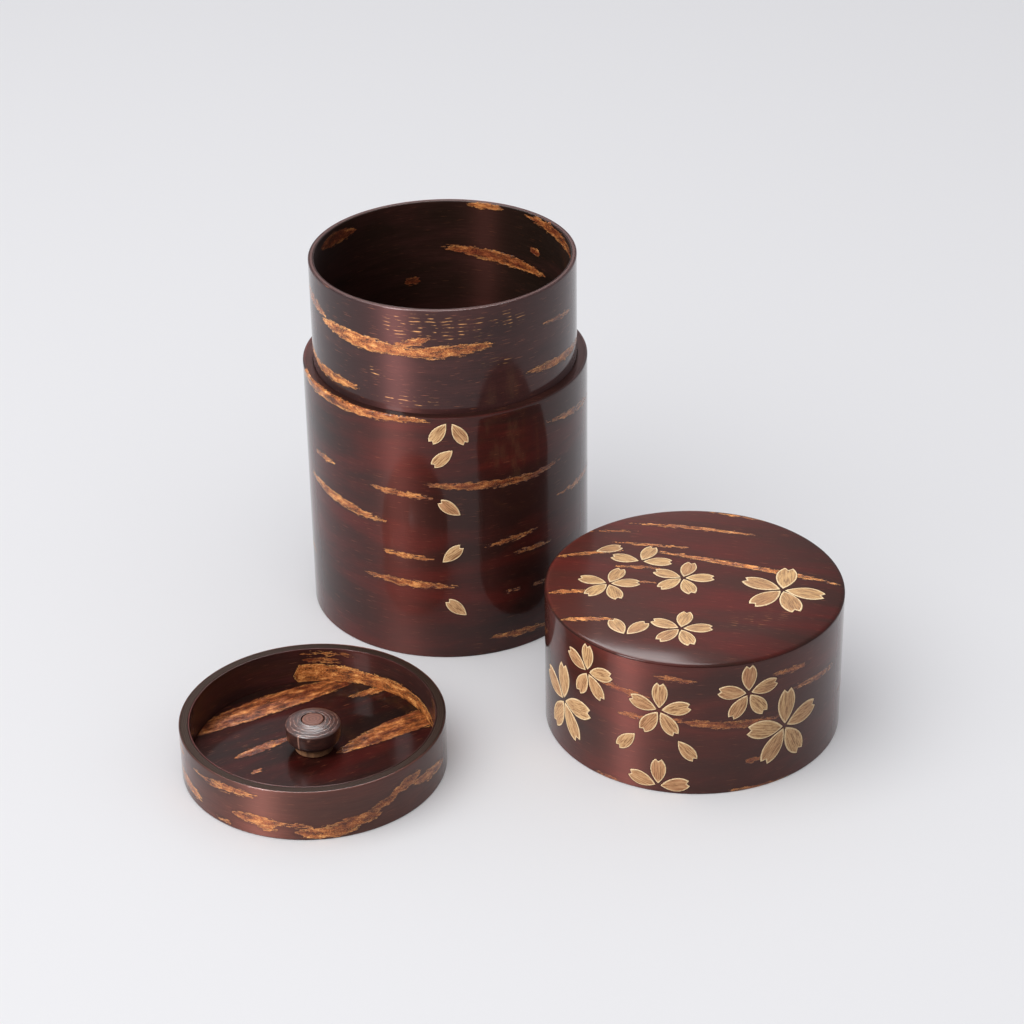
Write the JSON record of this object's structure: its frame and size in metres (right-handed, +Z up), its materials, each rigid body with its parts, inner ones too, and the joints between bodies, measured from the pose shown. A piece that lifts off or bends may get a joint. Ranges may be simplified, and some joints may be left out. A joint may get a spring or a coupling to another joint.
{
  "type": "tea caddy",
  "caption": "Round tea caddy clad in polished cherry bark with inlaid blossom petals, opened: can with a raised neck, lift-off outer cap and tray-shaped inner lid with a knob.",
  "frame": {"origin": "centre of the underside of the can, on the surface it stands on", "axes": "+Z up along the can's axis; +X to the right and +Y to the back, as seen from the side that carries the column of petals; the cap and the inner lid stand in front, towards -Y"},
  "size_m": [0.1772, 0.1655, 0.1069],
  "materials": {
    "polished_bark": "cherry bark polished to a soft gloss, deep red-brown with tan corky streaks",
    "neck_bark": "cherry bark, mauve-brown, satin",
    "inner_bark": "dark cherry bark, half matt",
    "rim_wood": "grey-brown, matt",
    "core_wood": "bare wound veneer and board",
    "petal_bark": "pale golden bark, satin, with a fine grain along each petal",
    "knob_bark": "wound bark turned and polished, showing its rings on top",
    "peg_wood": "pinkish wood, matt"
  },
  "bodies": {
    "can": {"base_bark_disc": "inner_bark", "base_board": "core_wood", "floor_bark_disc": "inner_bark", "can_core_tube": "core_wood", "shoulder_ring": "polished_bark", "neck_core_tube": "core_wood", "neck_bark_skin": "neck_bark", "neck_bark_lining": "inner_bark", "can_bark_skin": "polished_bark", "can_petal_1": "petal_bark", "can_petal_2": "petal_bark", "can_petal_3": "petal_bark", "can_petal_4": "petal_bark", "can_petal_5": "petal_bark", "can_petal_6": "petal_bark"},
    "cap": {"cap_core_tube": "core_wood", "cap_top_board": "core_wood", "cap_ceiling_bark": "inner_bark", "cap_bark_lining": "inner_bark", "cap_bark_skin": "polished_bark", "cap_top_bark": "polished_bark", "cap_side_blossom_1": "petal_bark", "cap_side_blossom_2": "petal_bark", "cap_side_blossom_3": "petal_bark", "cap_side_blossom_4": "petal_bark", "cap_side_blossom_5": "petal_bark", "cap_rim_spray": "petal_bark", "cap_side_petal_1": "petal_bark", "cap_side_petal_2": "petal_bark", "cap_top_blossom_1": "petal_bark", "cap_top_blossom_2": "petal_bark", "cap_top_blossom_3": "petal_bark", "cap_top_blossom_4": "petal_bark", "cap_top_spray_1": "petal_bark", "cap_top_spray_2": "petal_bark", "cap_top_petal": "petal_bark"},
    "inner_lid": {"lid_under_bark": "inner_bark", "lid_board": "core_wood", "lid_tray_bark": "polished_bark", "lid_ring_core": "rim_wood", "lid_wall_lining": "inner_bark", "lid_bark_band": "polished_bark", "knob_foot": "peg_wood", "knob": "knob_bark", "knob_peg": "peg_wood"}
  },
  "joints": [
    {"name": "cap_lift", "type": "slide", "parent": "can", "child": "cap", "axis": [0, 0, 1], "range_m": [0, 0.12]},
    {"name": "inner_lid_lift", "type": "slide", "parent": "can", "child": "inner_lid", "axis": [0, 0, 1], "range_m": [0, 0.12]}
  ]
}
